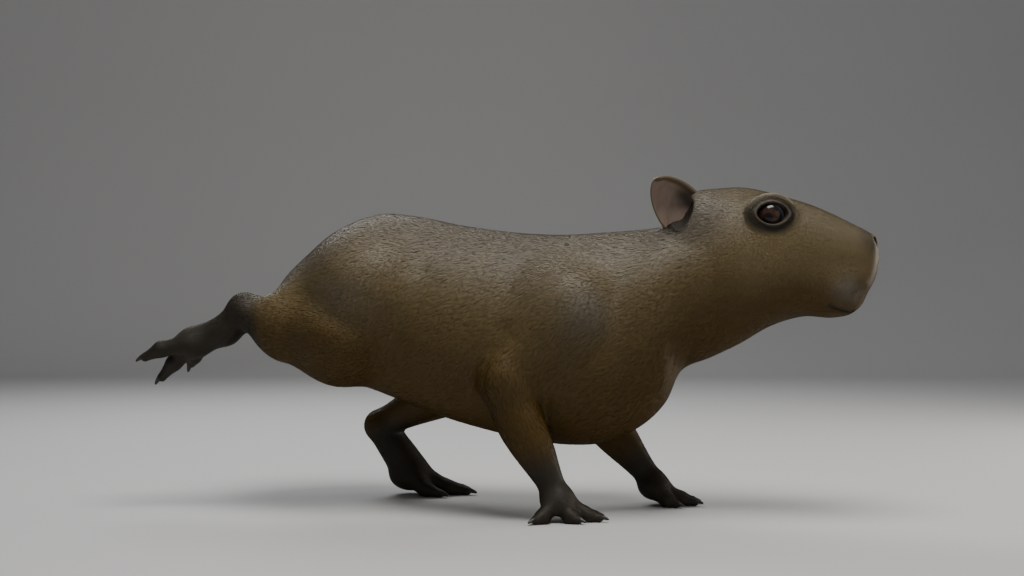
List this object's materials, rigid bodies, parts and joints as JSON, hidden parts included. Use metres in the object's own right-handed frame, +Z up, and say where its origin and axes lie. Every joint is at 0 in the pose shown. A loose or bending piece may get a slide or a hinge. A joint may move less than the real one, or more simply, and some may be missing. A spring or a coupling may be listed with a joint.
{
  "type": "capybara",
  "caption": "Life-size capybara in a long low running stride, standing on its forefeet and one hind foot, with the other hind leg stretched back.",
  "frame": {"origin": "on the ground under the middle of the animal's overall box", "axes": "+X towards the nose, +Y towards the animal's left side, +Z up"},
  "size_m": [1.4536, 0.4152, 0.6545],
  "materials": {
    "coat": "coarse close-lying hair, olive brown, warmer low down and greyer along the back",
    "bare_skin": "short dark hair over bare grey-brown skin",
    "ear_skin": "thin, sparsely haired, darker at the rim",
    "nail_horn": "blackish horn, satin",
    "eyeball": "wet, dark brown iris with a black pupil"
  },
  "bodies": {
    "root": {"fore_right_foot": "bare_skin", "fore_right_lower": "coat", "fore_right_upper": "coat", "fore_right_nail_1": "nail_horn", "fore_right_nail_2": "nail_horn", "fore_right_nail_3": "nail_horn", "fore_right_nail_4": "nail_horn", "fore_left_foot": "bare_skin", "fore_left_lower": "coat", "fore_left_upper": "coat", "fore_left_nail_1": "nail_horn", "fore_left_nail_2": "nail_horn", "fore_left_nail_3": "nail_horn", "fore_left_nail_4": "nail_horn", "hind_right_foot": "bare_skin", "hind_right_lower": "coat", "hind_right_upper": "coat", "hind_right_nail_1": "nail_horn", "hind_right_nail_2": "nail_horn", "hind_right_nail_3": "nail_horn", "hind_left_foot": "bare_skin", "hind_left_lower": "coat", "hind_left_upper": "coat", "hind_left_nail_1": "nail_horn", "hind_left_nail_2": "nail_horn", "hind_left_nail_3": "nail_horn", "head": "coat", "neck": "coat", "chest": "coat", "belly": "coat", "rump": "coat", "ear_left": "ear_skin", "ear_right": "ear_skin", "eye_left": "eyeball", "eye_right": "eyeball"}
  },
  "joints": []
}
